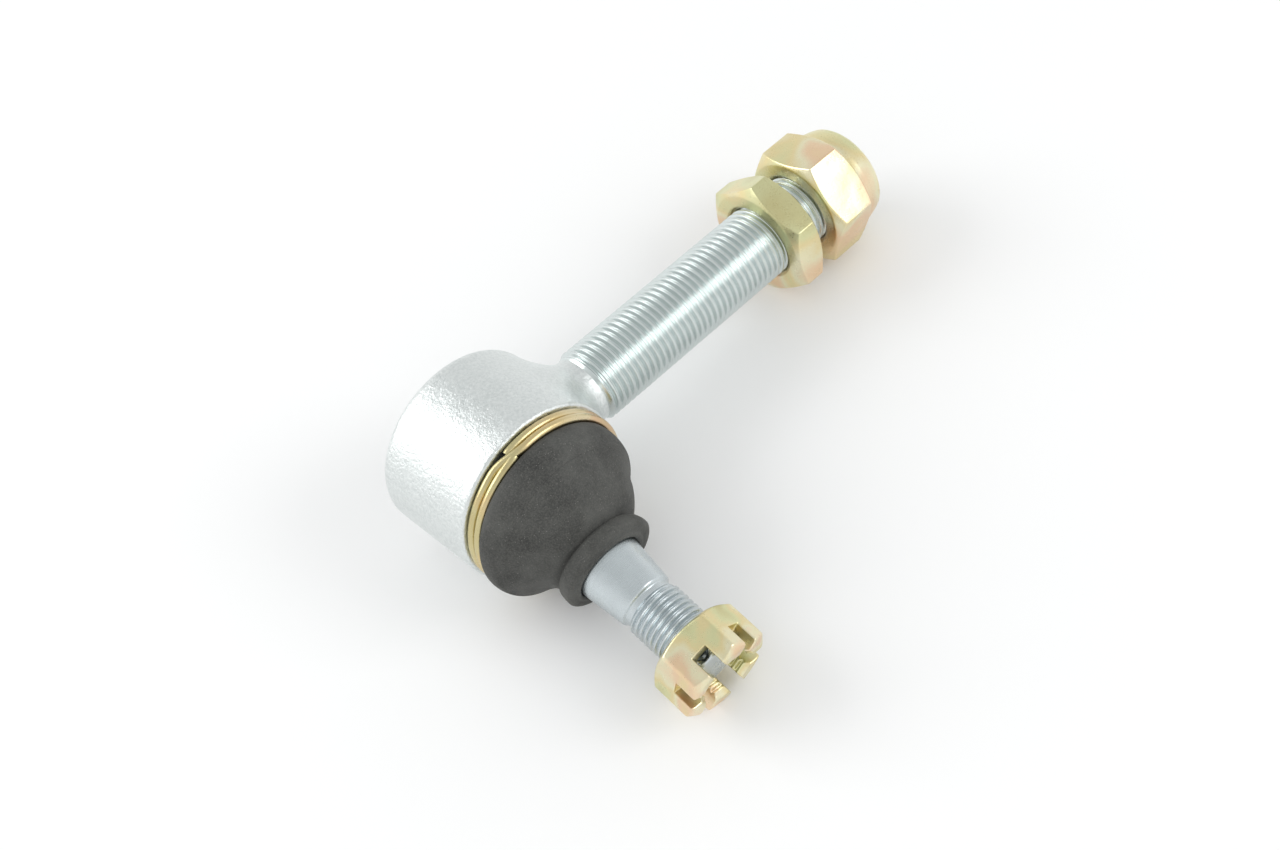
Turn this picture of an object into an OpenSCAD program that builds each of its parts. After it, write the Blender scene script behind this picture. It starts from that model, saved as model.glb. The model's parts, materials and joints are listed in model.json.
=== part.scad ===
// Tie rod end: ball stud in a forged cup with a threaded shank, rubber boot,
// wire clamp, castle nut, jam nut and nylon insert lock nut.
// Frame: origin at the ball centre, +X out along the shank, -Y out along the
// cup axis on the stud side, +Z up.

/* [Forging] */
// outer radius of the ball cup
cup_r = 19.1; // [18:0.1:21]
// distance from the ball centre to the closed back rim of the cup
cup_back = 12.3; // [12:0.1:14]
// distance from the ball centre to the front face of the cup
cup_front = 12.05; // [11.8:0.05:12.5]
// rounding of the cup's back rim
rim_round = 2.4; // [1:0.1:3]
// radius of the bore that holds the two bearing seats
bore_r = 13; // [12.6:0.1:14]
// radius of the stud opening at the front of the cup
mouth_r = 12.2; // [11.8:0.1:13]
// where the bulged neck of the forging blends into the plain neck
neck_x = 20.5; // [19:0.5:22]
// radius of the plain neck before the shank thread
neck_r = 7.2; // [6.8:0.1:7.6]
// start of the shank thread
shank_start = 24.6; // [23:0.1:28]
// free end of the shank
shank_end = 97.5; // [94:0.5:99]
// shank thread outer radius
shank_r = 8; // [8:0.5:8]

/* [Ball stud] */
// radius of the ball
ball_r = 10; // [9.5:0.1:10.2]
// swing of the stud away from the cup axis at rest, degrees
stud_lean = 12.2; // [0:0.1:14]
// direction of that swing about the cup axis, degrees
lean_turn = 9.5; // [-30:0.5:30]
// radius of the waist under the ball
waist_r = 5.4; // [5:0.1:5.6]
// radius of the stud where the boot grips it
seat_r = 7.3; // [7:0.1:7.6]
// radius at the small end of the taper
taper_r = 6.05; // [5.9:0.05:6.3]
// stud thread outer radius
stud_thread_r = 6; // [6:0.5:6]
// distance from the ball centre to the end of the taper
taper_end = 41.4; // [40:0.1:43]
// distance from the ball centre to the free end of the stud
stud_end = 59.8; // [58:0.1:66]

/* [Boot] */
// radius of the boot's shoulder
shoulder_r = 18.5; // [17.5:0.1:18.8]
// radius of the small end flange
flange_r = 10.65; // [10:0.05:11.5]
// thickness of the rubber wall
wall = 2; // [1.6:0.1:2.4]
// radius of the clamp wire
wire_r = 0.9; // [0.7:0.05:0.95]
// radius of the clamp ring to the middle of its wire
ring_r = 17.6; // [17.5:0.05:17.8]

/* [Nuts] */
// width across flats of the two shank nuts
shank_af = 24; // [24:0.5:24]
// where the jam nut starts along the shank
jam_x = 74.6; // [40:0.1:76]
// thickness of the jam nut
jam_t = 7; // [6:0.5:8]
// where the lock nut starts along the shank
lock_x = 86.2; // [85:0.1:88]
// height of the lock nut with its collar
lock_t = 16; // [15:0.5:17]
// width across flats of the castle nut
castle_af = 18; // [18:0.5:19]
// where the castle nut starts along the stud
castle_s = 53; // [50:0.5:54]
// height of the castle nut
castle_t = 10.2; // [10:0.1:11]
// depth of the cotter slots in the castle nut
slot_depth = 4.9; // [3:0.1:5]
// width of the cotter slots
slot_w = 3.3; // [3:0.1:3.5]

/* [Hidden] */
gap = 0.05;             // clearance between neighbouring pieces
fit = 0.05;             // radial running clearance of threads
roll_lip = 0.7;         // height of the rolled lip above the closing plate
plate_t = 1.5;          // closing plate thickness
plate_r = bore_r + 1.2;
plate_in = cup_back - roll_lip - plate_t;
spring_h = 0.9;
socket_r = ball_r + 0.05;
lip_z = 5.2;            // front edge of the socket, along the cup axis
seat_front = 7.3;
spigot_r = 15;          // spigot that carries the boot collar
spigot_end = 14.9;
collar_end = 15.8;
flange_s = 28;          // back of the small end flange
flange_end = 32.1;
boss_r = 11.6;          // root of the neck against the cup
seat_lip_r = 9.4;       // opening at the front of the lower seat
cotter_r = 1.6;         // cotter pin hole through the stud
nut_turn = 30;          // turn of the castle nut and the cotter hole about the stud
jam_turn = -4.8;        // turn of the jam nut about the shank
lock_turn = 18.5;       // turn of the lock nut about the shank
lock_hex = 10.6;        // hexagon height of the lock nut
insert_back = 11.6;     // where the nylon insert starts inside the lock nut
insert_r = 9.7;
taper_start = 30;       // big end of the taper
hex_k = 2 / sqrt(3);    // across corners over across flats
fn_round = 96;

// local +Z becomes the cup axis on the stud side
module on_cup() {
  rotate([90, 0, 0]) children();
}

// local +Z becomes the stud axis in its rest position
module on_stud() {
  rotate([0, lean_turn, 0]) rotate([stud_lean, 0, 0]) rotate([90, 0, 0]) children();
}

// local +Z becomes the shank axis
module on_shank() {
  rotate([0, 90, 0]) children();
}

// solid of revolution from [radius, height] points
module turned(points) {
  rotate_extrude($fn = fn_round) polygon(points);
}

// hexagon prism with the usual bevel on the ends named
module hex_body(af, h, low, high) {
  circ = af / 2 * hex_k;
  bevel = circ - af / 2 * 0.95;
  drop = bevel * 0.577;
  intersection() {
    cylinder(r = circ, h = h, $fn = 6);
    turned([[0, 0], [circ - (low ? bevel : 0), 0], [circ + 0.01, low ? drop : 0],
            [circ + 0.01, h - (high ? drop : 0)], [circ - (high ? bevel : 0), h], [0, h]]);
  }
}

module cup_outer() {
  r0 = cup_r - rim_round;
  steps = [for (a = [0 : 10 : 90]) [r0 + rim_round * sin(a), -cup_back + rim_round * (1 - cos(a))]];
  turned(concat([[0, -cup_back]], steps,
                [[cup_r, cup_front - 0.9], [cup_r - 0.7, cup_front], [spigot_r, cup_front],
                 [spigot_r, spigot_end - 0.6], [spigot_r - 0.5, spigot_end], [0, spigot_end]]));
}

module cup_inner() {
  turned([[0, -cup_back - 1], [plate_r - 0.9, -cup_back - 1], [plate_r - 0.9, -cup_back + roll_lip - 0.1],
          [plate_r + gap, -cup_back + roll_lip], [plate_r + gap, -plate_in], [bore_r, -plate_in],
          [bore_r, seat_front + gap], [seat_lip_r, seat_front + gap], [mouth_r, spigot_end],
          [mouth_r, spigot_end + 1], [0, spigot_end + 1]]);
}

module shank_solid() {
  bulge = [for (a = [0 : 12 : 72]) [boss_r - 3.4 * (1 - cos(a)), neck_x - 5.5 + 4.2 * sin(a)]];
  on_shank() turned(concat([[0, cup_r * 0.55], [boss_r, cup_r * 0.55]], bulge,
    [[neck_r + 0.5, neck_x + 0.8], [neck_r, neck_x + 1.8], [neck_r, shank_start - 0.8],
     [shank_r, shank_start], [shank_r, shank_end - 1.2], [shank_r - 1.2, shank_end], [0, shank_end]]));
}

module housing() {
  color("silver") difference() {
    union() {
      on_cup() cup_outer();
      shank_solid();
    }
    on_cup() cup_inner();
  }
}

module closing_plate() {
  color("lightgrey") on_cup() turned([[0, -plate_in - plate_t], [plate_r, -plate_in - plate_t],
    [plate_r, -plate_in - gap], [0, -plate_in - gap]]);
}

module preload_spring() {
  color("dimgray") on_cup() turned([[bore_r - 0.5, -plate_in + gap], [bore_r - 0.5, -plate_in + 0.45],
    [6.5, -plate_in + spring_h], [6.5, -plate_in + spring_h - 0.4]]);
}

module upper_seat() {
  back = -plate_in + spring_h + gap;
  color("ivory") on_cup() difference() {
    turned([[5, back], [bore_r - gap, back], [bore_r - gap, -0.3], [5, -0.3]]);
    sphere(r = socket_r, $fn = fn_round);
  }
}

module lower_seat() {
  rim = sqrt(socket_r * socket_r - lip_z * lip_z);
  color("ivory") on_cup() difference() {
    turned([[8, 0], [bore_r - gap, 0], [bore_r - gap, seat_front], [seat_lip_r, seat_front],
            [rim, lip_z], [8, lip_z]]);
    sphere(r = socket_r, $fn = fn_round);
  }
}

module stud_bore(extra) {
  turned([[0, flange_s - 2], [seat_r + extra, flange_s - 2], [seat_r + extra, taper_start],
          [taper_r + extra, taper_end], [0, taper_end]]);
}

module ball_stud() {
  root = stud_thread_r - 0.65;
  color("silver") on_stud() difference() {
    union() {
      intersection() {
        sphere(r = ball_r, $fn = fn_round);
        translate([0, 0, -8.2]) cylinder(r = ball_r + 1, h = 20);
      }
      turned([[0, 0], [waist_r, 0], [waist_r, 19.2], [seat_r, 22], [seat_r, taper_start],
              [taper_r, taper_end], [taper_r - 0.35, taper_end + 0.4], [root, taper_end + 0.9],
              [root, taper_end + 1.9], [stud_thread_r, taper_end + 2.5],
              [stud_thread_r, stud_end - 0.9], [stud_thread_r - 0.9, stud_end], [0, stud_end]]);
    }
    translate([0, 0, castle_s + castle_t - slot_depth - 0.4]) rotate([0, 0, nut_turn]) rotate([90, 0, 0])
      cylinder(r = cotter_r, h = 3 * stud_thread_r, center = true, $fn = 32);
  }
}

module boot_collar() {
  inner = spigot_r + gap;
  seat = ring_r - wire_r - 0.02;
  color("dimgray") on_cup() turned([[inner, cup_front + gap], [seat, cup_front + gap], [seat, 15.72],
    [shoulder_r - 0.3, collar_end - gap], [inner, collar_end - gap]]);
}

// point on a boot ring: share of the stud's lean, radius, distance from the ball, angle
function boot_point(share, r, s, a) =
  let (lean = stud_lean * share,
       y = -s * cos(lean) - r * sin(a) * sin(lean),
       z = -s * sin(lean) + r * sin(a) * cos(lean),
       x = r * cos(a))
  [x * cos(lean_turn) + z * sin(lean_turn), y, z * cos(lean_turn) - x * sin(lean_turn)];

module boot_skirt() {
  lip_back = flange_s - gap;
  n = 40;
  // outer skin from the collar to the small end, then the inner skin back
  rings = [[0, shoulder_r - 0.3, collar_end], [0.15, shoulder_r, 17], [0.5, shoulder_r - 0.2, 18.8],
           [0.8, shoulder_r - 1.2, 20.8], [1, 15, 23.2], [1, 11.4, 25.9], [1, 9.4, 27.3], [1, 9, lip_back],
           [1, seat_r + 0.5, lip_back], [1, 8, 26.4], [1, 11.4 - wall, 24.6], [1, 15 - wall, 22],
           [0.8, shoulder_r - 1.4 - wall, 19.8], [0.5, shoulder_r - 0.4 - wall, 18.2],
           [0.15, shoulder_r - wall, 17], [0, shoulder_r - 0.3 - wall, collar_end]];
  points = [for (g = rings) for (i = [0 : n - 1]) boot_point(g[0], g[1], g[2], 360 * i / n)];
  count = len(rings);
  faces = [for (k = [0 : count - 1]) for (i = [0 : n - 1])
             let (p = k * n + i, q = k * n + (i + 1) % n, m = (k + 1) % count * n)
             each [[p, m + i, q], [q, m + i, m + (i + 1) % n]]];
  color("dimgray") polyhedron(points = points, faces = faces);
}

module boot_lip() {
  r = flange_r;
  color("dimgray") on_stud() difference() {
    turned([[0, flange_s], [r - 0.9, flange_s], [r - 0.45, flange_s + 0.6], [r - 0.15, flange_s + 1.6],
            [r, flange_s + 2.6], [r - 0.05, flange_s + 3.1], [r - 0.5, flange_s + 3.5],
            [r - 1.2, flange_end - 0.4], [r - 2.1, flange_end - 0.35], [r - 2.4, flange_end], [0, flange_end]]);
    stud_bore(gap);
  }
}

module boot_ring() {
  color("goldenrod") on_cup() for (k = [0, 1])
    translate([0, 0, cup_front + 0.07 + wire_r + k * (2 * wire_r + 0.02)])
      rotate_extrude($fn = fn_round) translate([ring_r, 0]) circle(r = wire_r, $fn = 24);
}

// bore of a nut with the usual countersink at both ends
module nut_bore(r, h) {
  turned([[0, -1], [r + 1.7, -1], [r + 0.7, 0], [r + fit, 0.7],
          [r + fit, h - 0.7], [r + 0.7, h], [r + 1.7, h + 1], [0, h + 1]]);
}

module jam_nut() {
  color("khaki") translate([jam_x, 0, 0]) rotate([jam_turn, 0, 0]) on_shank() difference() {
    hex_body(shank_af, jam_t, true, true);
    nut_bore(shank_r, jam_t);
  }
}

module lock_nut() {
  bore = shank_r + fit;
  color("khaki") translate([lock_x, 0, 0]) rotate([lock_turn, 0, 0]) on_shank() difference() {
    union() {
      hex_body(shank_af, lock_hex, true, true);
      turned([[0, lock_hex - 1], [11.4, lock_hex - 1], [11.3, lock_hex + 1.4], [10.9, lock_t - 1.6],
              [10.3, lock_t - 0.5], [9.6, lock_t], [0, lock_t]]);
    }
    turned([[0, -1], [bore + 1.7, -1], [bore + 0.65, 0], [bore, 0.7], [bore, insert_back], [insert_r, insert_back],
            [insert_r, lock_t - 0.7], [8.9, lock_t - 0.5], [8.9, lock_t + 1], [0, lock_t + 1]]);
  }
}

module lock_insert() {
  bore = shank_r + fit;
  color("white") translate([lock_x, 0, 0]) on_shank()
    turned([[bore, insert_back + gap], [insert_r - gap, insert_back + gap],
      [insert_r - gap, lock_t - 0.8], [bore, lock_t - 0.8]]);
}

module castle_nut() {
  color("khaki") on_stud() translate([0, 0, castle_s]) rotate([0, 0, nut_turn]) difference() {
    hex_body(castle_af, castle_t, true, true);
    nut_bore(stud_thread_r, castle_t);
    for (k = [0 : 5]) rotate([0, 0, 60 * k + 30])
      translate([stud_thread_r - 1, -slot_w / 2, castle_t - slot_depth])
        cube([castle_af, slot_w, slot_depth + 1]);
  }
}

housing();
closing_plate();
preload_spring();
upper_seat();
lower_seat();
ball_stud();
boot_collar();
boot_skirt();
boot_lip();
boot_ring();
jam_nut();
lock_nut();
lock_insert();
castle_nut();
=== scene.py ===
"""Tie rod end: forged cup with a threaded shank, ball stud in a rubber boot, and its nuts."""

import json
import math

import bmesh
import bpy
import numpy as np
from mathutils import Matrix, Vector


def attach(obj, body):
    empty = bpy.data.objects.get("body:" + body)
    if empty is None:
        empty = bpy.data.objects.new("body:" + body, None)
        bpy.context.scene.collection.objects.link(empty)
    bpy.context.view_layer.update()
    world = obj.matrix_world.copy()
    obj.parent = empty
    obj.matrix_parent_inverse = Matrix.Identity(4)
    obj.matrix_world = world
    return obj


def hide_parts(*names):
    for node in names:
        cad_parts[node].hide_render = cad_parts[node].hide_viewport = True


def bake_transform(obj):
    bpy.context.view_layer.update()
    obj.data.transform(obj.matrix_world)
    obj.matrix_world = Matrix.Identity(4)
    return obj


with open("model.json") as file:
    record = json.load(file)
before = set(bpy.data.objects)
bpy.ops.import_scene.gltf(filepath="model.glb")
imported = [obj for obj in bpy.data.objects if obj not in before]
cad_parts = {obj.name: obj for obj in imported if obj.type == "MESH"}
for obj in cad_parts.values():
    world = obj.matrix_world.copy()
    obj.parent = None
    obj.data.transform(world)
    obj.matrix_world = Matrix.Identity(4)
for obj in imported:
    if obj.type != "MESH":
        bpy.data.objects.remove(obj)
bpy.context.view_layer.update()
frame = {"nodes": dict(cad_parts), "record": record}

MM = 0.001
JOINTS = {j["name"]: j for j in frame["record"]["behaviour"]["joints"]}

# ---------------------------------------------------------------- axes
# Each helper space has its own +Z along the piece's axis, in millimetres.
STUD_AXIS = Vector(JOINTS["stud_spin"]["axis"])
TILT_AXIS = Vector(JOINTS["stud_tilt"]["axis"])
CUP_AXIS = Vector((0, -1, 0))


def space(z_axis, x_hint):
    """Rotation whose +Z is z_axis and whose +X is as near x_hint as it can be."""
    z = z_axis.normalized()
    x = (x_hint - x_hint.dot(z) * z).normalized()
    return Matrix((x, z.cross(x), z)).transposed()


ON_CUP = space(CUP_AXIS, TILT_AXIS)
ON_STUD = space(STUD_AXIS, TILT_AXIS)
ON_SHANK = space(Vector((1, 0, 0)), Vector((0, 1, 0)))
LEAN = STUD_AXIS.angle(CUP_AXIS)


# ---------------------------------------------------------------- mesh helpers
def add_mesh(name, points, faces, material, rotation=None, sharp=None):
    """Mesh object from points in millimetres, turned by rotation into the shared frame."""
    co = np.asarray(points, float) * MM
    if rotation is not None:
        co = co @ np.array(rotation).T
    mesh = bpy.data.meshes.new(name)
    mesh.from_pydata(co.tolist(), [], [tuple(int(i) for i in f) for f in faces])
    mesh.validate()
    bm = bmesh.new()
    bm.from_mesh(mesh)
    bmesh.ops.remove_doubles(bm, verts=bm.verts, dist=1e-4 * MM)
    bmesh.ops.recalc_face_normals(bm, faces=bm.faces)
    for face in bm.faces:
        face.smooth = True
    if sharp is not None:
        for edge in bm.edges:
            if len(edge.link_faces) == 2 and edge.calc_face_angle() > math.radians(sharp):
                edge.smooth = False
    bm.to_mesh(mesh)
    bm.free()
    mesh.materials.append(material)
    obj = bpy.data.objects.new(name, mesh)
    bpy.context.scene.collection.objects.link(obj)
    return obj


def finish_piece(obj, body, slot, *nodes):
    """The piece rides on a body and stands for CAD nodes; the slot argument is not used."""
    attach(obj, body)
    if nodes:
        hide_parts(*nodes)
    return obj


def loft(rings, closed=False, cap_start=False, cap_end=False):
    """(points, faces) through rings of the same number of points."""
    count, n = len(rings), len(rings[0])
    points = [p for ring in rings for p in ring]
    faces = []
    for k in range(count if closed else count - 1):
        a, b = k * n, (k + 1) % count * n
        faces += [(a + i, a + (i + 1) % n, b + (i + 1) % n, b + i) for i in range(n)]
    if cap_start:
        faces.append(tuple(range(n)))
    if cap_end:
        faces.append(tuple((count - 1) * n + i for i in range(n)))
    return points, faces


def rounded(profile, radius, steps=3):
    """Profile of (r, z) points with each inner corner replaced by a small arc."""
    out = [profile[0]]
    for a, b, c in zip(profile, profile[1:], profile[2:]):
        a, b, c = np.array(a, float), np.array(b, float), np.array(c, float)
        to_a, to_c = a - b, c - b
        reach = min(radius, 0.45 * np.linalg.norm(to_a), 0.45 * np.linalg.norm(to_c))
        p = b + to_a / max(np.linalg.norm(to_a), 1e-9) * reach
        q = b + to_c / max(np.linalg.norm(to_c), 1e-9) * reach
        for i in range(steps + 1):
            t = i / steps
            out.append(tuple((1 - t) ** 2 * p + 2 * t * (1 - t) * b + t * t * q))
    out.append(profile[-1])
    return out


def lathe(profile_at, angles):
    """Points and faces of a body whose (r, z) profile may change with the angle."""
    profiles = [profile_at(a) for a in angles]
    rings = [
        [(p[k][0] * math.cos(a), p[k][0] * math.sin(a), p[k][1]) for p, a in zip(profiles, angles)]
        for k in range(len(profiles[0]))
    ]
    return loft(rings)


def circle_angles(n):
    return [2 * math.pi * i / n for i in range(n)]


THREAD_SEGMENTS = 72  # points round one turn of a thread


def helix_thread(start, end, pitch, major, root, envelope, segments):
    """Threaded surface along +Z; envelope(z) limits the radius near the two ends."""
    depth = major - root
    shape = [(0.0, 0.9), (0.05, 0.97), (0.1, 1.0), (0.15, 0.9), (0.28, 0.45), (0.41, 0.06),
             (0.5, 0.0), (0.59, 0.06), (0.72, 0.45), (0.85, 0.9), (0.9, 1.0), (0.95, 0.97)]
    m = len(shape)
    turns = int(math.ceil((end - start) / pitch)) + 2
    z = np.array([[start + pitch * (k + v - 1 + j / segments) for j in range(segments)]
                  for k in range(turns) for v, _ in shape])
    r = np.array([[root + depth * h] * segments for _ in range(turns) for _, h in shape])
    z = np.clip(z, start, end)
    r = np.minimum(r, envelope(z))
    at_end = (z <= start) | (z >= end)
    r[at_end] = envelope(z)[at_end]
    angle = np.tile(2 * math.pi * np.arange(segments) / segments, (len(z), 1))
    points = np.stack([r * np.cos(angle), r * np.sin(angle), z], -1).reshape(-1, 3)
    faces = []
    rows = len(z)
    for i in range(rows - 1):
        for j in range(segments):
            if j + 1 < segments:
                quad = (i * segments + j, i * segments + j + 1,
                        (i + 1) * segments + j + 1, (i + 1) * segments + j)
            elif i + m + 1 < rows:
                quad = (i * segments + j, (i + m) * segments,
                        (i + m + 1) * segments, (i + 1) * segments + j)
            else:
                continue
            faces.append(quad)
    return points, faces


# ---------------------------------------------------------------- distance fields
def smooth_min(a, b, k):
    h = np.maximum(k - np.abs(a - b), 0) / k
    return np.minimum(a, b) - h * h * k / 4


def smooth_max(a, b, k):
    return -smooth_min(-a, -b, k)


def polygon_distance(r, z, points):
    """Signed distance to a closed polygon in the (r, z) plane, negative inside."""
    best = np.full(r.shape, 1e9)
    inside = np.zeros(r.shape, bool)
    for (r0, z0), (r1, z1) in zip(points, points[1:] + points[:1]):
        er, ez = r1 - r0, z1 - z0
        t = np.clip(((r - r0) * er + (z - z0) * ez) / (er * er + ez * ez + 1e-12), 0, 1)
        best = np.minimum(best, (r - r0 - t * er) ** 2 + (z - z0 - t * ez) ** 2)
        if z0 != z1:
            crosses = (z0 > z) != (z1 > z)
            inside ^= crosses & (r < (z - z0) * er / ez + r0)
    return np.where(inside, -1, 1) * np.sqrt(best)


def field_mesh(field, low, high, step):
    """(points, faces) of the surface where field is 0, by surface nets and a Newton fit."""
    axes = [np.arange(a, b + step, step) for a, b in zip(low, high)]
    grid = np.stack(np.meshgrid(*axes, indexing="ij"), -1)
    value = field(grid.reshape(-1, 3)).reshape(grid.shape[:3])
    shape = tuple(n - 1 for n in value.shape)
    total, count, quads = np.zeros((*shape, 3)), np.zeros(shape), []
    for axis in range(3):
        edges = np.argwhere(np.diff((value < 0).astype(np.int8), axis=axis) != 0)
        u, v = (axis + 1) % 3, (axis + 2) % 3
        fits = (edges[:, u] > 0) & (edges[:, v] > 0)
        fits &= (edges[:, u] < shape[u]) & (edges[:, v] < shape[v])
        edges = edges[fits]
        ends = edges.copy()
        ends[:, axis] += 1
        a, b = value[tuple(edges.T)], value[tuple(ends.T)]
        point = grid[tuple(edges.T)].copy()
        point[:, axis] += step * a / (a - b)
        ring = []
        for du, dv in ((0, 0), (-1, 0), (-1, -1), (0, -1)):
            cell = edges.copy()
            cell[:, u] += du
            cell[:, v] += dv
            np.add.at(total, tuple(cell.T), point)
            np.add.at(count, tuple(cell.T), 1)
            ring.append(np.ravel_multi_index(tuple(cell.T), shape))
        ring = np.stack(ring, 1)
        ring[a > 0] = ring[a > 0][:, ::-1]
        quads.append(ring)
    used, index = np.unique(np.concatenate(quads), return_inverse=True)
    co = total.reshape(-1, 3)[used] / count.reshape(-1)[used, None]
    eps = 1e-3
    for _ in range(5):
        d = field(co)
        slope = np.stack([(field(co + eps * e) - d) / eps for e in np.eye(3)], -1)
        size = np.maximum((slope ** 2).sum(-1, keepdims=True), 0.2)
        co = co - np.clip(d[:, None] * slope / size, -step, step)
    return co, index.reshape(-1, 4)


# ---------------------------------------------------------------- materials
class Nodes:
    """A material and short calls that add nodes to it."""

    def __init__(self, name):
        self.material = bpy.data.materials.new(name)
        self.material.use_nodes = True
        self.tree = self.material.node_tree
        self.shader = self.tree.nodes["Principled BSDF"]

    def add(self, kind, output=0, props=None, **inputs):
        node = self.tree.nodes.new(kind)
        for key, value in (props or {}).items():
            setattr(node, key, value)
        for key, value in inputs.items():
            socket = node.inputs[int(key[1:])] if key[0] == "i" and key[1:].isdigit() else node.inputs[key]
            self.put(socket, value)
        return node.outputs[output]

    def put(self, socket, value):
        if isinstance(value, bpy.types.NodeSocket):
            self.tree.links.new(value, socket)
        else:
            socket.default_value = value

    def set(self, **values):
        for key, value in values.items():
            self.put(self.shader.inputs[key.replace("_", " ")], value)

    def position(self, rotation=None, stretch=(1, 1, 1)):
        """Object position in millimetres, turned into a piece's own space and stretched."""
        at = self.add("ShaderNodeTexCoord", output=3)
        if rotation is not None:
            euler = rotation.transposed().to_euler()
            at = self.add("ShaderNodeVectorRotate", props={"rotation_type": "EULER_XYZ"},
                          Vector=at, Rotation=euler)
        return self.add("ShaderNodeVectorMath", props={"operation": "MULTIPLY"},
                        i0=at, i1=tuple(1000 * s for s in stretch))

    def noise(self, at, scale, detail=2.0, roughness=0.5, distortion=0.0):
        return self.add("ShaderNodeTexNoise", Vector=at, Scale=scale,
                        Detail=detail, Roughness=roughness, Distortion=distortion)

    def ramp(self, value, stops):
        node = self.tree.nodes.new("ShaderNodeValToRGB")
        elements = node.color_ramp.elements
        while len(elements) < len(stops):
            elements.new(0.5)
        for element, (place, color) in zip(elements, stops):
            element.position = place
            element.color = (*color, 1) if isinstance(color, tuple) else (color, color, color, 1)
        self.put(node.inputs[0], value)
        return node.outputs[0]

    def mix(self, factor, a, b):
        node = self.tree.nodes.new("ShaderNodeMix")
        node.data_type = "RGBA"
        for socket, value in ((node.inputs[0], factor), (node.inputs[6], a), (node.inputs[7], b)):
            self.put(socket, value)
        return node.outputs[2]

    def math(self, operation, a, b=0.5, c=0.5):
        return self.add("ShaderNodeMath", props={"operation": operation},
                        i0=a, i1=b, i2=c)

    def scale(self, value, low, high):
        """value from 0..1 to low..high."""
        return self.math("MULTIPLY_ADD", value, high - low, low)

    def bump(self, height, distance_mm, strength=1.0, normal=None):
        inputs = {"Height": height, "Distance": distance_mm * MM, "Strength": strength}
        if normal is not None:
            inputs["Normal"] = normal
        return self.add("ShaderNodeBump", **inputs)


def rgb(*values):
    """Linear colour from sRGB values of 0 to 255."""
    return tuple(v / 255 / 12.92 if v <= 10 else ((v / 255 + 0.055) / 1.055) ** 2.4 for v in values)


def forged_zinc():
    """Clear zinc over a rough forged skin: fine grains, blotches and small pits."""
    m = Nodes("forged_zinc")
    at = m.position()
    grain = m.noise(at, 1.7, 4, 0.62)
    blotch = m.noise(at, 0.22, 3, 0.55)
    pits = m.add("ShaderNodeTexVoronoi", Vector=at, Scale=0.8)
    tone = m.mix(blotch, (*rgb(190, 198, 197), 1), (*rgb(216, 221, 220), 1))
    tone = m.mix(m.ramp(grain, [(0.38, 0.5), (0.6, 1.0)]), tone, (*rgb(228, 232, 231), 1))
    rough = m.math("ADD", m.scale(grain, 0.14, 0.34), m.scale(blotch, 0.08, 0.16))
    coarse = m.bump(m.noise(at, 0.45, 3, 0.6), 0.22)
    fine = m.bump(grain, 0.16, normal=coarse)
    pitted = m.bump(m.ramp(pits, [(0.0, 0.0), (0.25, 1.0)]), 0.05, normal=fine)
    m.set(Base_Color=tone, Metallic=1.0, Roughness=rough, Normal=pitted)
    return m.material


def turned_zinc(name, rotation, base, rough=(0.16, 0.3), lines=0.012):
    """Clear zinc over a turned or rolled surface: fine lines round the axis."""
    m = Nodes(name)
    at = m.position(rotation)
    along = m.position(rotation, (0.05, 0.05, 1))
    line = m.noise(along, 5.0, 3, 0.6)
    patch = m.noise(at, 0.35, 3, 0.6)
    fleck = m.noise(at, 2.4, 3, 0.6)
    tone = m.mix(patch, (*(0.84 * c for c in base), 1), (*base, 1))
    m.set(Base_Color=tone, Metallic=1.0,
          Roughness=m.math("ADD", m.scale(line, rough[0] * 0.6, rough[1] * 0.6),
                           m.scale(fleck, rough[0] * 0.4, rough[1] * 0.4)),
          Normal=m.bump(line, lines, normal=m.bump(fleck, 0.012)))
    return m.material


def yellow_zinc(name, scale, shift=0.0, deep=0.0):
    """Yellow passivate: pale gold drifting softly to green and peach, finely speckled."""
    m = Nodes(name)
    at = m.position()
    moved = m.add("ShaderNodeVectorMath", props={"operation": "ADD"},
                  i0=at, i1=(shift, shift * 1.7, -shift))
    film = m.noise(moved, scale, 1.5, 0.45, 0.25)
    speck = m.noise(at, 3.0, 3, 0.7)
    film = m.math("ADD", film, m.scale(speck, -0.06, 0.06))
    gold, green, peach = rgb(230, 214, 164), rgb(218, 217, 170), rgb(234, 204, 170)
    cream, straw = rgb(234, 228, 194), rgb(204, 196, 146)
    tone = m.ramp(film, [(0.28, straw), (0.4, green), (0.48, gold),
                         (0.56, cream), (0.66, peach), (0.78, gold)])
    if deep:
        tone = m.mix(deep, tone, (*rgb(176, 140, 92), 1))
    rough = m.math("ADD", m.scale(speck, 0.1, 0.2), m.scale(m.noise(at, 0.6, 2), 0.1, 0.18))
    m.set(Base_Color=tone, Metallic=1.0, Roughness=rough,
          Normal=m.bump(speck, 0.02, normal=m.bump(m.noise(at, 0.5, 2), 0.05)))
    return m.material


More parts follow.
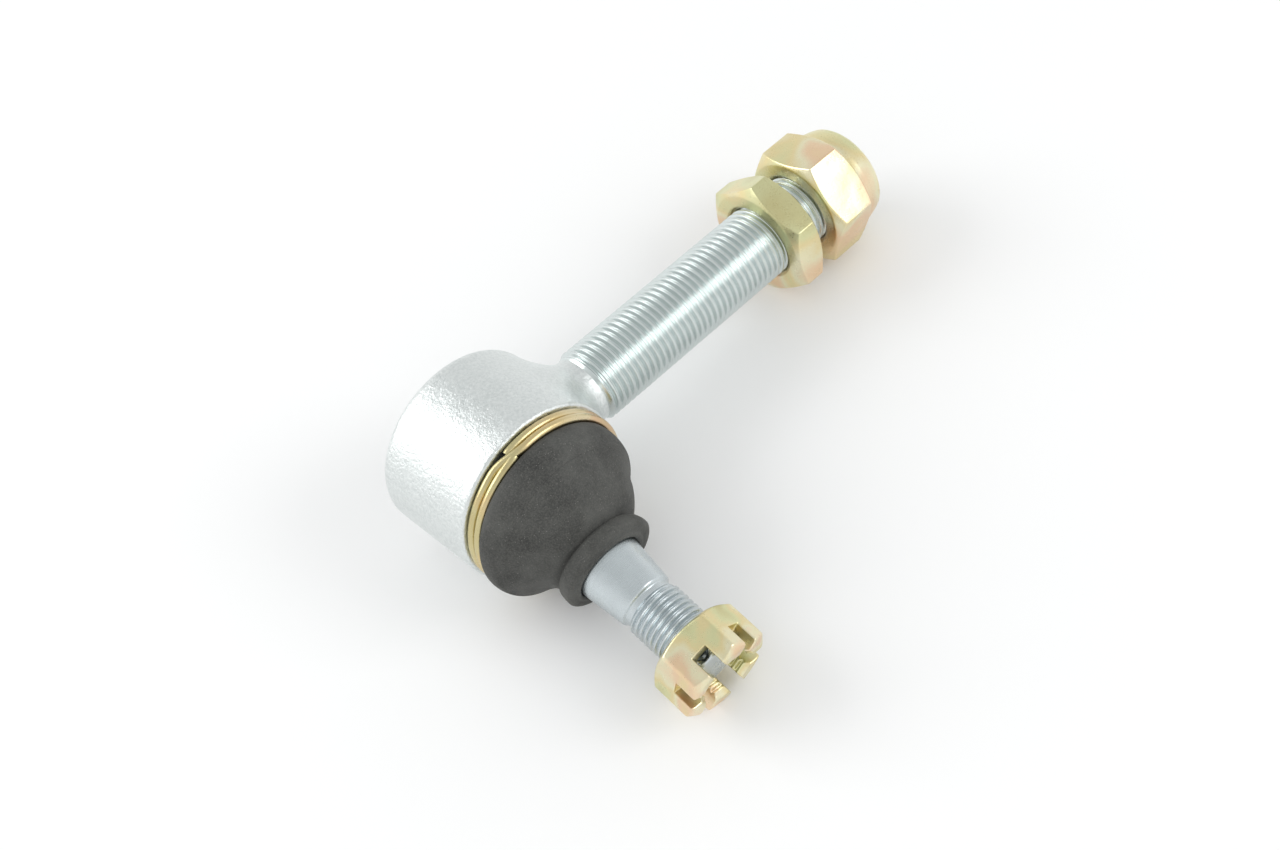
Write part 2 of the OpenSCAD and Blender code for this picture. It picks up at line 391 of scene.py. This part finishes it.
def boot_rubber():
    """Black moulded rubber with a fine skin, pale dust and lint specks."""
    m = Nodes("boot_rubber")
    at = m.position()
    cloud = m.noise(at, 0.12, 4, 0.6)
    skin = m.noise(at, 3.2, 4, 0.65)
    tone = m.mix(m.ramp(cloud, [(0.35, 0.0), (0.68, 1.0)]), (*rgb(50, 51, 49), 1), (*rgb(82, 83, 80), 1))
    tone = m.mix(m.ramp(skin, [(0.42, 0.0), (0.75, 0.5)]), tone, (*rgb(112, 110, 106), 1))
    specks = m.add("ShaderNodeTexVoronoi", props={"feature": "F1"}, Vector=at, Scale=1.8)
    few = m.noise(at, 0.9, 2)
    dust = m.math("MULTIPLY", m.ramp(specks, [(0.05, 1.0), (0.17, 0.0)]),
                  m.ramp(few, [(0.44, 0.0), (0.56, 1.0)]))
    tone = m.mix(m.math("MULTIPLY", dust, 0.42), tone, (*rgb(190, 188, 182), 1))
    m.set(Base_Color=tone, Roughness=m.scale(skin, 0.55, 0.8), Specular_IOR_Level=0.35,
          Normal=m.bump(skin, 0.05, normal=m.bump(m.noise(at, 0.6, 3), 0.08)))
    return m.material


def moulded_plastic(name, light, dark, scale):
    """Plain moulded plastic with a faint mottle."""
    m = Nodes(name)
    at = m.position()
    grain = m.noise(at, scale, 3)
    m.set(Base_Color=m.mix(grain, (*dark, 1), (*light, 1)), Roughness=m.scale(grain, 0.35, 0.5),
          Normal=m.bump(grain, 0.02))
    return m.material


def floor_material():
    """Matt white studio table."""
    m = Nodes("studio_table")
    at = m.position()
    soft = m.noise(at, 0.004, 2)
    m.set(Base_Color=m.mix(soft, (0.92, 0.92, 0.92, 1), (0.94, 0.94, 0.94, 1)), Roughness=0.9,
          Specular_IOR_Level=0.1)
    return m.material


FORGED = forged_zinc()
SHANK_ZINC = turned_zinc("shank_zinc", ON_SHANK, rgb(222, 230, 229), (0.16, 0.3), 0.01)
STUD_ZINC = turned_zinc("stud_zinc", ON_STUD, rgb(208, 216, 219), (0.2, 0.36), 0.02)
YELLOW = yellow_zinc("yellow_zinc", 0.07)
CASTLE_YELLOW = yellow_zinc("castle_yellow_zinc", 0.12, 7.0)
WIRE_YELLOW = yellow_zinc("wire_yellow_zinc", 0.07, 3.0, 0.35)
RUBBER = boot_rubber()

# ---------------------------------------------------------------- housing
CUP_R, CUP_BACK, CUP_FRONT = 19.1, 12.3, 12.05
BACK_ROUND, FRONT_ROUND = 2.4, 0.6
NECK_END = 23.9
SHANK_END, SHANK_R, SHANK_ROOT, SHANK_PITCH = 97.5, 8.0, 7.08, 1.5
neck_x = [0, 12, 15, 16.5, 17.6, 19.0, 20.4, 21.4, 22.3, 23.2, 40]
neck_r = [11.6, 11.6, 11.5, 10.9, 10.2, 9.15, 8.15, 7.55, 7.25, 7.2, 7.2]
smooth_x = np.linspace(0, 40, 401)
smooth_r = np.convolve(np.pad(np.interp(smooth_x, neck_x, neck_r), 12, "edge"),
                       np.hanning(25) / np.hanning(25).sum(), "valid")


def forging(p):
    """The forging without its thread; z of the cup runs towards the stud."""
    x, y, z = p.T
    rho, s = np.hypot(x, z), -y
    mid, half = (CUP_FRONT - CUP_BACK) / 2, (CUP_FRONT + CUP_BACK) / 2
    corner = np.where(s < mid, BACK_ROUND, FRONT_ROUND)
    qr, qs = rho - CUP_R + corner, np.abs(s - mid) - half + corner
    cup = np.minimum(np.maximum(qr, qs), 0) + np.hypot(np.maximum(qr, 0), np.maximum(qs, 0)) - corner
    about = np.hypot(y, z)
    neck = np.maximum(about - np.interp(x, smooth_x, smooth_r), np.maximum(x - NECK_END, -x))
    body = smooth_min(cup, neck, 3.2)
    body = smooth_max(body, x - NECK_END, 0.1)
    spigot = np.maximum(rho - 15, np.abs(s - 12) - 2.9)
    body = np.minimum(body, spigot)
    hollow = polygon_distance(rho, s, [(-5, -14), (13.3, -14), (13.3, -11.55), (14.25, -11.55),
                                       (14.25, -10.1), (13, -10.1), (13, 7.35), (9.4, 7.35),
                                       (12.2, 14.9), (12.2, 17), (-5, 17)])
    return smooth_max(body, -hollow, 0.25)


co, quads = field_mesh(forging, (-20, -15.6, -20), (24.6, 13, 20), 0.36)
housing = add_mesh("forged_housing", co, quads, FORGED)
finish_piece(housing, "housing", "bright_zinc", "housing")


def shank_envelope(x):
    rise = 7.2 + (x - NECK_END + 0.4) * (SHANK_R - 7.2) / 1.1
    return np.clip(np.minimum(rise, SHANK_END - x + SHANK_R - 1.2), 6.6, SHANK_R)


points, faces = helix_thread(NECK_END - 0.4, SHANK_END, SHANK_PITCH, SHANK_R, SHANK_ROOT,
                             shank_envelope, THREAD_SEGMENTS)
rod = add_mesh("shank_thread", points, faces, SHANK_ZINC, ON_SHANK)
finish_piece(rod, "housing", "bright_zinc")
end_face = rounded([(SHANK_R - 1.2, SHANK_END), (4.2, SHANK_END), (3.4, SHANK_END - 0.5),
                    (0.0, SHANK_END - 2.6)], 0.3)
points, faces = lathe(lambda a: end_face, circle_angles(48))
finish_piece(add_mesh("shank_end", points, faces, SHANK_ZINC, ON_SHANK), "housing", "bright_zinc")

# ---------------------------------------------------------------- ball stud
BALL_R, WAIST_R, SEAT_R, TAPER_R, THREAD_R, THREAD_ROOT = 10.0, 5.4, 7.3, 6.05, 6.0, 5.28
TAPER_START, TAPER_END, STUD_END, STUD_PITCH = 30.0, 41.4, 59.8, 1.25
THREAD_START = TAPER_END + 1.6
COTTER_R, COTTER_S, COTTER_TURN = 1.6, 57.9, math.radians(120)
ball_top = math.acos(-8.2 / BALL_R)
ball_low = math.asin(WAIST_R / BALL_R)
ball = [(BALL_R * math.sin(t), BALL_R * math.cos(t)) for t in np.linspace(ball_top, ball_low, 24)]
shape = [(0.0, -8.2), *ball, (WAIST_R, 12.0), (WAIST_R, 19.2), (SEAT_R, 22.0), (SEAT_R, TAPER_START),
         (TAPER_R, TAPER_END), (TAPER_R - 0.25, TAPER_END + 0.28), (THREAD_ROOT + 0.12, TAPER_END + 0.55),
         (THREAD_ROOT + 0.1, THREAD_START + 0.4), (THREAD_ROOT - 0.6, THREAD_START + 0.5)]
stud_profile = rounded(shape, 0.35)
points, faces = lathe(lambda a: stud_profile, circle_angles(96))
stud = add_mesh("stud_body", points, faces, STUD_ZINC, ON_STUD)
finish_piece(stud, "ball_stud", "stud_zinc", "ball_stud")


def stud_envelope(z):
    rise = THREAD_ROOT + 0.05 + (z - THREAD_START) * 0.9
    return np.clip(np.minimum(rise, STUD_END - z + THREAD_R - 0.9), THREAD_ROOT - 0.3, THREAD_R)


points, faces = helix_thread(THREAD_START, STUD_END, STUD_PITCH, THREAD_R, THREAD_ROOT,
                             stud_envelope, THREAD_SEGMENTS)
# points of the thread inside the cotter hole are drawn in towards the axis
across = np.abs(points[:, 0] * math.sin(COTTER_TURN) - points[:, 1] * math.cos(COTTER_TURN))
in_hole = np.hypot(across, points[:, 2] - COTTER_S) < COTTER_R
points[in_hole, :2] *= 0.3
thread = add_mesh("stud_thread", points, faces, STUD_ZINC, ON_STUD)
finish_piece(thread, "ball_stud", "stud_zinc")
end_face = rounded([(THREAD_R - 0.9, STUD_END), (2.2, STUD_END), (0.0, STUD_END - 0.1)], 0.2)
points, faces = lathe(lambda a: end_face, circle_angles(48))
finish_piece(add_mesh("stud_end", points, faces, STUD_ZINC, ON_STUD), "ball_stud", "stud_zinc")


# ---------------------------------------------------------------- nuts
def hex_angles(per_side=12, corner=0.35, af=24.0):
    """Angles round a hexagon, crowded at its corners, with the flats' middles at 0, 60, ..."""
    inner = (af / 2 - corner) / math.cos(math.radians(30))
    edge = math.atan2(corner * 0.5, inner + corner * math.cos(math.radians(30)))
    near = [30 - math.degrees(edge) * k for k in (1.0, 0.66, 0.33, 0.0)]
    flat = [near[0] * i / per_side for i in range(per_side)]
    half = flat + near
    one = half[:-1] + [30] + [60 - a for a in reversed(half[:-1]) if a > 0]
    return [math.radians(60 * k + a) for k in range(6) for a in one]


def hex_radius(angle, af, corner=0.35):
    """Radius of a hexagon with rounded corners at an angle from the middle of a flat."""
    a = (math.degrees(angle) + 30) % 60 - 30
    inner = (af / 2 - corner) / math.cos(math.radians(30))
    edge = math.atan2(corner * 0.5, inner + corner * math.cos(math.radians(30)))
    off = math.radians(30 - abs(a))
    if off < edge:
        return inner * math.cos(off) + math.sqrt(max(corner ** 2 - (inner * math.sin(off)) ** 2, 0))
    return af / 2 / math.cos(math.radians(a))


def hex_sides(angle, af, low, high):
    """Outer profile of a chamfered nut from its lower to its upper face."""
    r = hex_radius(angle, af)
    face = af / 2 * 0.955
    drop = max(r - face, 0.05) * math.tan(math.radians(30))
    return [(face, low), (r, low + drop), (r, high - drop), (face, high)]


JAM_X, JAM_T, JAM_TURN = 74.6, 7.0, -4.8
LOCK_X, LOCK_T, LOCK_HEX, LOCK_TURN = 86.2, 16.0, 10.6, 18.5
NUT_AF, BORE = 24.0, SHANK_R + 0.04


def jam_profile(angle):
    shape = [(BORE, JAM_T / 2), (BORE, 0.8), (BORE + 0.8, 0.0), *hex_sides(angle, NUT_AF, 0, JAM_T),
             (BORE + 0.8, JAM_T), (BORE, JAM_T - 0.8)]
    return rounded(shape, 0.22) + [(BORE, JAM_T / 2)]


def lock_profile(angle):
    sides = hex_sides(angle, NUT_AF, 0, LOCK_HEX)
    shape = [(BORE, 5.0), (BORE, 0.8), (BORE + 0.8, 0.0), *sides[:3], (11.5, LOCK_HEX - 0.15),
             (11.35, LOCK_HEX + 1.4), (11.0, LOCK_T - 2.4), (10.5, LOCK_T - 0.9), (9.6, LOCK_T), (8.9, LOCK_T),
             (8.9, LOCK_T - 0.5), (9.7, LOCK_T - 0.7), (9.7, 11.6), (BORE, 11.6)]
    return rounded(shape, 0.3) + [(BORE, 5.0)]


def on_shank_at(x, turn):
    """Place of a nut on the shank: the same turn as in the CAD."""
    base = Matrix.Rotation(math.radians(turn), 4, "X") @ Matrix(((0, 0, 1), (0, 1, 0), (-1, 0, 0))).to_4x4()
    return Matrix.Translation((x * MM, 0, 0)) @ base


def place(obj, matrix):
    obj.data.transform(matrix)
    return obj


points, faces = lathe(jam_profile, hex_angles())
jam = place(add_mesh("jam_nut_body", points, faces, YELLOW), on_shank_at(JAM_X, JAM_TURN + 30))
finish_piece(jam, "jam_nut", "yellow_zinc", "jam_nut")
points, faces = lathe(lock_profile, hex_angles())
lock = place(add_mesh("lock_nut_body", points, faces, YELLOW), on_shank_at(LOCK_X, LOCK_TURN + 30))
finish_piece(lock, "lock_nut", "yellow_zinc", "lock_nut")

CASTLE_S, CASTLE_T, CASTLE_AF, SLOT_DEPTH, SLOT_W = 53.0, 10.2, 18.0, 4.9, 3.3


def castle(p):
    """Slotted nut with its thread; its own z starts at its plain face, flats' middles at 0, 60, ..."""
    x, y, z = p.T
    rho, angle = np.hypot(x, y), np.arctan2(y, x)
    hexagon = None
    for k in range(3):
        side = np.abs(x * math.cos(math.pi * k / 3) + y * math.sin(math.pi * k / 3)) - CASTLE_AF / 2
        hexagon = side if hexagon is None else smooth_max(hexagon, side, 0.5)
    face = CASTLE_AF / 2 * 0.955
    slope = math.radians(30)
    top = (z - CASTLE_T) * math.cos(slope) + (rho - face) * math.sin(slope)
    bottom = -z * math.cos(slope) + (rho - face) * math.sin(slope)
    body = smooth_max(smooth_max(hexagon, top, 0.3), bottom, 0.3)
    body = smooth_max(body, np.maximum(z - CASTLE_T, -z), 0.3)
    phase = np.abs(((z + CASTLE_S - THREAD_START) / STUD_PITCH - angle / (2 * math.pi) + 0.5) % 1 - 0.5) * 2
    bore = 5.42 + 0.62 * np.clip(1.15 - phase * 1.3, 0, 1)
    bore = np.maximum(bore, 6.7 - z * 1.0)
    bore = np.maximum(bore, 6.6 - (CASTLE_T - z) * 1.0)
    body = smooth_max(body, bore - rho, 0.12)
    for k in range(3):
        across = -x * math.sin(math.pi * k / 3) + y * math.cos(math.pi * k / 3)
        body = smooth_max(body, -smooth_max(np.abs(across) - SLOT_W / 2, CASTLE_T - SLOT_DEPTH - z, 0.3), 0.3)
    return body


co, quads = field_mesh(castle, (-10.8, -10.8, -0.4), (10.8, 10.8, CASTLE_T + 0.4), 0.17)
stud_space = Matrix(np.array(ON_STUD).tolist()).to_4x4()
castle_nut = add_mesh("castle_nut_body", co, quads, CASTLE_YELLOW)
place(castle_nut, stud_space @ Matrix.Translation((0, 0, CASTLE_S * MM)))
finish_piece(castle_nut, "castle_nut", "yellow_zinc", "castle_nut")

# ---------------------------------------------------------------- clamp ring
RING_R, WIRE_R = 17.6, 0.88
RING_LOW, RING_HIGH = CUP_FRONT + 0.07 + 0.9, CUP_FRONT + 0.07 + 2.72
RING_GAP = math.radians(116)


def ring_path(n=360):
    """Two turns of wire, one beside the other, stepping over near the wire's ends."""
    path = []
    for i in range(n + 1):
        turn = (4 * math.pi + math.radians(3)) * i / n
        step = min(max((turn - 2 * math.pi + math.radians(14)) / math.radians(26), 0), 1)
        z = RING_LOW + (RING_HIGH - RING_LOW) * step * step * (3 - 2 * step)
        a = RING_GAP - turn
        path.append((RING_R * math.cos(a), RING_R * math.sin(a), z))
    return [Vector(p) for p in path]


path = ring_path()
rings = []
for i, point in enumerate(path):
    ahead = (path[min(i + 1, len(path) - 1)] - path[max(i - 1, 0)]).normalized()
    out = Vector((point.x, point.y, 0)).normalized()
    side = ahead.cross(out).normalized()
    out = side.cross(ahead)
    r = WIRE_R * (0.86 if i in (0, len(path) - 1) else 1.0)
    rings.append([tuple(point + r * (out * math.cos(t) + side * math.sin(t))) for t in circle_angles(16)])
points, faces = loft(rings, cap_start=True, cap_end=True)
ring = add_mesh("clamp_ring", points, faces, WIRE_YELLOW, ON_CUP, sharp=60)
finish_piece(ring, "housing", "yellow_zinc_wire", "boot_ring")

# ---------------------------------------------------------------- boot
N_AROUND = 128
SIDE = Vector((-0.918, 0.114, -0.380))  # the way the soft shoulder sags


def boot_ring(share, r, s, shift=0.0):
    """Ring square to an axis that lies share of the way from the cup's to the stud's.

    s is the distance from the ball's centre, and shift moves the ring along SIDE."""
    axis = CUP_AXIS.copy()
    axis.rotate(Matrix.Rotation(LEAN * share, 3, TILT_AXIS))
    base = space(axis, TILT_AXIS)
    middle = axis * s + SIDE * shift
    return [tuple(middle + base @ Vector((r * math.cos(a), r * math.sin(a), 0)))
            for a in circle_angles(N_AROUND)]


def smooth_rows(rows, per_step=5):
    """Catmull-Rom curve through rows of numbers."""
    rows = np.array(rows, float)
    ext = np.vstack([2 * rows[0] - rows[1], rows, 2 * rows[-1] - rows[-2]])
    out = []
    for i in range(1, len(ext) - 2):
        p0, p1, p2, p3 = ext[i - 1:i + 3]
        for k in range(per_step):
            t = k / per_step
            out.append(0.5 * (2 * p1 + (p2 - p0) * t + (2 * p0 - 5 * p1 + 4 * p2 - p3) * t ** 2
                              + (3 * p1 - p0 - 3 * p2 + p3) * t ** 3))
    out.append(rows[-1])
    return out


# each row: share of the lean, radius, distance from the ball's centre, sideways shift
collar_rows = [(0, 15.05, 12.1), (0, 16.66, 12.1), (0, 16.66, 15.3)]
shoulder_rows = [(0, 16.68, 15.5, 0.1), (0, 17.1, 15.68, 0.3), (0, 17.8, 15.95, 0.65), (0.02, 18.15, 16.8, 0.88),
                 (0.06, 18.15, 18.0, 0.88), (0.12, 17.9, 19.0, 0.8), (0.15, 17.68, 19.5, 0.72),
                 (0.17, 17.5, 19.68, 0.7), (0.18, 17.2, 19.85, 0.68), (0.22, 16.6, 20.4, 0.6),
                 (0.25, 16.1, 20.9, 0.52)]
cone_rows = [(0.25, 16.1, 20.9, 0.52), (0.28, 15.6, 21.4, 0.45), (0.35, 14.4, 22.6, 0.25),
             (0.45, 13.1, 24.2, -0.2), (0.6, 11.8, 25.6, -0.45), (0.8, 10.6, 26.8, -0.4),
             (0.95, 9.6, 27.5, -0.25), (1, 9.2, 27.9, -0.2), (1, 9.3, 28.1, -0.2), (1, 9.9, 28.3, -0.25),
             (1, 10.25, 28.8, -0.3), (1, 10.5, 29.8, -0.4), (1, 10.6, 30.7, -0.45), (1, 10.5, 31.2, -0.4),
             (1, 10.0, 31.6, -0.35), (1, 9.3, 31.75, -0.25), (1, 8.7, 31.72, -0.2), (1, 8.4, 31.8, -0.15),
             (1, 8.1, 32.0, -0.1), (1, 7.6, 32.0, 0), (1, 7.3, 31.75, 0), (1, 7.3, 31.3, 0)]
shoulder_inside = [(0.25, 15.1, 20.4, 0.5), (0.17, 15.9, 19.0, 0.65), (0.06, 16.5, 17.6, 0.75),
                   (0, 16.1, 16.4, 0.35), (0, 15.05, 15.6, 0)]
cone_inside = [(1, 7.35, 29.4, 0), (1, 7.6, 27.6, 0), (0.85, 9.4, 26.1, -0.2), (0.55, 11.7, 24.4, -0.2),
               (0.35, 13.7, 22.3, 0.2), (0.25, 15.1, 20.4, 0.5)]
SEAM_AXIS = CUP_AXIS.copy()
SEAM_AXIS.rotate(Matrix.Rotation(LEAN * 0.25, 3, TILT_AXIS))

sections = collar_rows + smooth_rows(shoulder_rows) + smooth_rows(shoulder_inside)
points, faces = loft([boot_ring(*row) for row in sections], closed=True)
shoulder = add_mesh("boot_shoulder", points, faces, RUBBER)
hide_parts("boot_collar", "boot_skirt")
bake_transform(shoulder)

sections = smooth_rows(cone_rows) + smooth_rows(cone_inside)
points, faces = loft([boot_ring(*row) for row in sections], closed=True)
cone = add_mesh("boot_cone", points, faces, RUBBER)
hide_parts("boot_lip")
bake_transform(cone)

# ---------------------------------------------------------------- carried CAD pieces
INNER = {
    "closing_plate": turned_zinc("plate_zinc", ON_CUP, rgb(208, 212, 214), (0.3, 0.45), 0.02),
    "preload_spring": turned_zinc("spring_steel", ON_CUP, rgb(110, 110, 112), (0.3, 0.4), 0.01),
    "upper_seat": moulded_plastic("seat_plastic", rgb(236, 230, 208), rgb(222, 214, 190), 0.8),
    "lower_seat": moulded_plastic("lower_seat_plastic", rgb(236, 230, 208), rgb(222, 214, 190), 0.8),
    "lock_insert": moulded_plastic("insert_nylon", rgb(238, 238, 232), rgb(222, 222, 216), 1.2),
}
for node, material in INNER.items():
    data = frame["nodes"][node].data
    data.materials.clear()
    data.materials.append(material)

# ---------------------------------------------------------------- floor, light, camera
def lowest(points, normal):
    return min(points, key=lambda p: p.dot(normal))


groups = [[o.matrix_world @ v.co for v in o.data.vertices] for o in (housing, lock, castle_nut)]
groups[0] = [p for p in groups[0] if p.y > 0]
normal = Vector((0, 0, 1))
for _ in range(12):
    a, b, c = (lowest(g, normal) for g in groups)
    normal = (b - a).cross(c - a).normalized()
    if normal.z < 0:
        normal = -normal

FLOOR_HALF = 3.0  # metres
floor_turn = Vector((0, 0, 1)).rotation_difference(normal).to_matrix()
FLOOR_DROP = 0.0001  # metres between the part's lowest points and the floor
corners = [a + floor_turn @ Vector((x * FLOOR_HALF, y * FLOOR_HALF, 0)) - normal * FLOOR_DROP
           for x, y in ((-1, -1), (1, -1), (1, 1), (-1, 1))]
floor = add_mesh("studio_floor", [tuple(p / MM) for p in corners], [(0, 1, 2, 3)], floor_material())

world = bpy.data.worlds.new("studio")
bpy.context.scene.world = world
world.use_nodes = True
links, nodes = world.node_tree.links, world.node_tree.nodes
direction = nodes.new("ShaderNodeTexCoord")
split = nodes.new("ShaderNodeSeparateXYZ")
shade = nodes.new("ShaderNodeValToRGB")
shade.color_ramp.elements[0].position = 0.05
shade.color_ramp.elements[0].color = (0.93, 0.93, 0.93, 1)
shade.color_ramp.elements[1].position = 0.75
shade.color_ramp.elements[1].color = (0.66, 0.67, 0.67, 1)
links.new(direction.outputs["Generated"], split.inputs[0])
links.new(split.outputs[2], shade.inputs[0])
links.new(shade.outputs[0], nodes["Background"].inputs["Color"])
nodes["Background"].inputs["Strength"].default_value = 1.1


def soft_light(name, position, target, width, height, power):
    """Rectangular area light aimed at target."""
    data = bpy.data.lights.new(name, "AREA")
    data.shape = "RECTANGLE"
    data.size, data.size_y, data.energy = width, height, power
    obj = bpy.data.objects.new(name, data)
    obj.location = position
    obj.rotation_euler = (Vector(target) - Vector(position)).to_track_quat("-Z", "Y").to_euler()
    bpy.context.scene.collection.objects.link(obj)
    return obj


def around(azimuth, elevation, distance):
    """Point seen from the object in that direction; azimuth 0 is +X, turning towards +Y."""
    a, e = math.radians(azimuth), math.radians(elevation)
    return distance * Vector((math.cos(a) * math.cos(e), math.sin(a) * math.cos(e), math.sin(e)))


soft_light("back_softbox", around(128, 34, 1.0), (0.02, 0, 0), 0.68, 0.56, 3.6)
soft_light("front_softbox", around(-56, 36, 1.0), (0.02, 0, 0), 0.5, 0.46, 2.2)

camera_data = bpy.data.cameras.new("photo_camera")
camera_data.sensor_width = 36
camera_data.lens = 54.3
camera_data.clip_start = 0.01
camera = bpy.data.objects.new("photo_camera", camera_data)
right, up, back = (Vector(v) for v in ((0.69910, -0.69932, -0.14907), (0.60666, 0.46977, 0.64131),
                                        (-0.37845, -0.53877, 0.75267)))
camera_place = Matrix.Translation((-0.1180, -0.2176, 0.2822))
camera.matrix_world = camera_place @ Matrix((right, up, back)).transposed().to_4x4()
bpy.context.scene.collection.objects.link(camera)
bpy.context.scene.camera = camera
bpy.context.scene.view_settings.view_transform = "Standard"
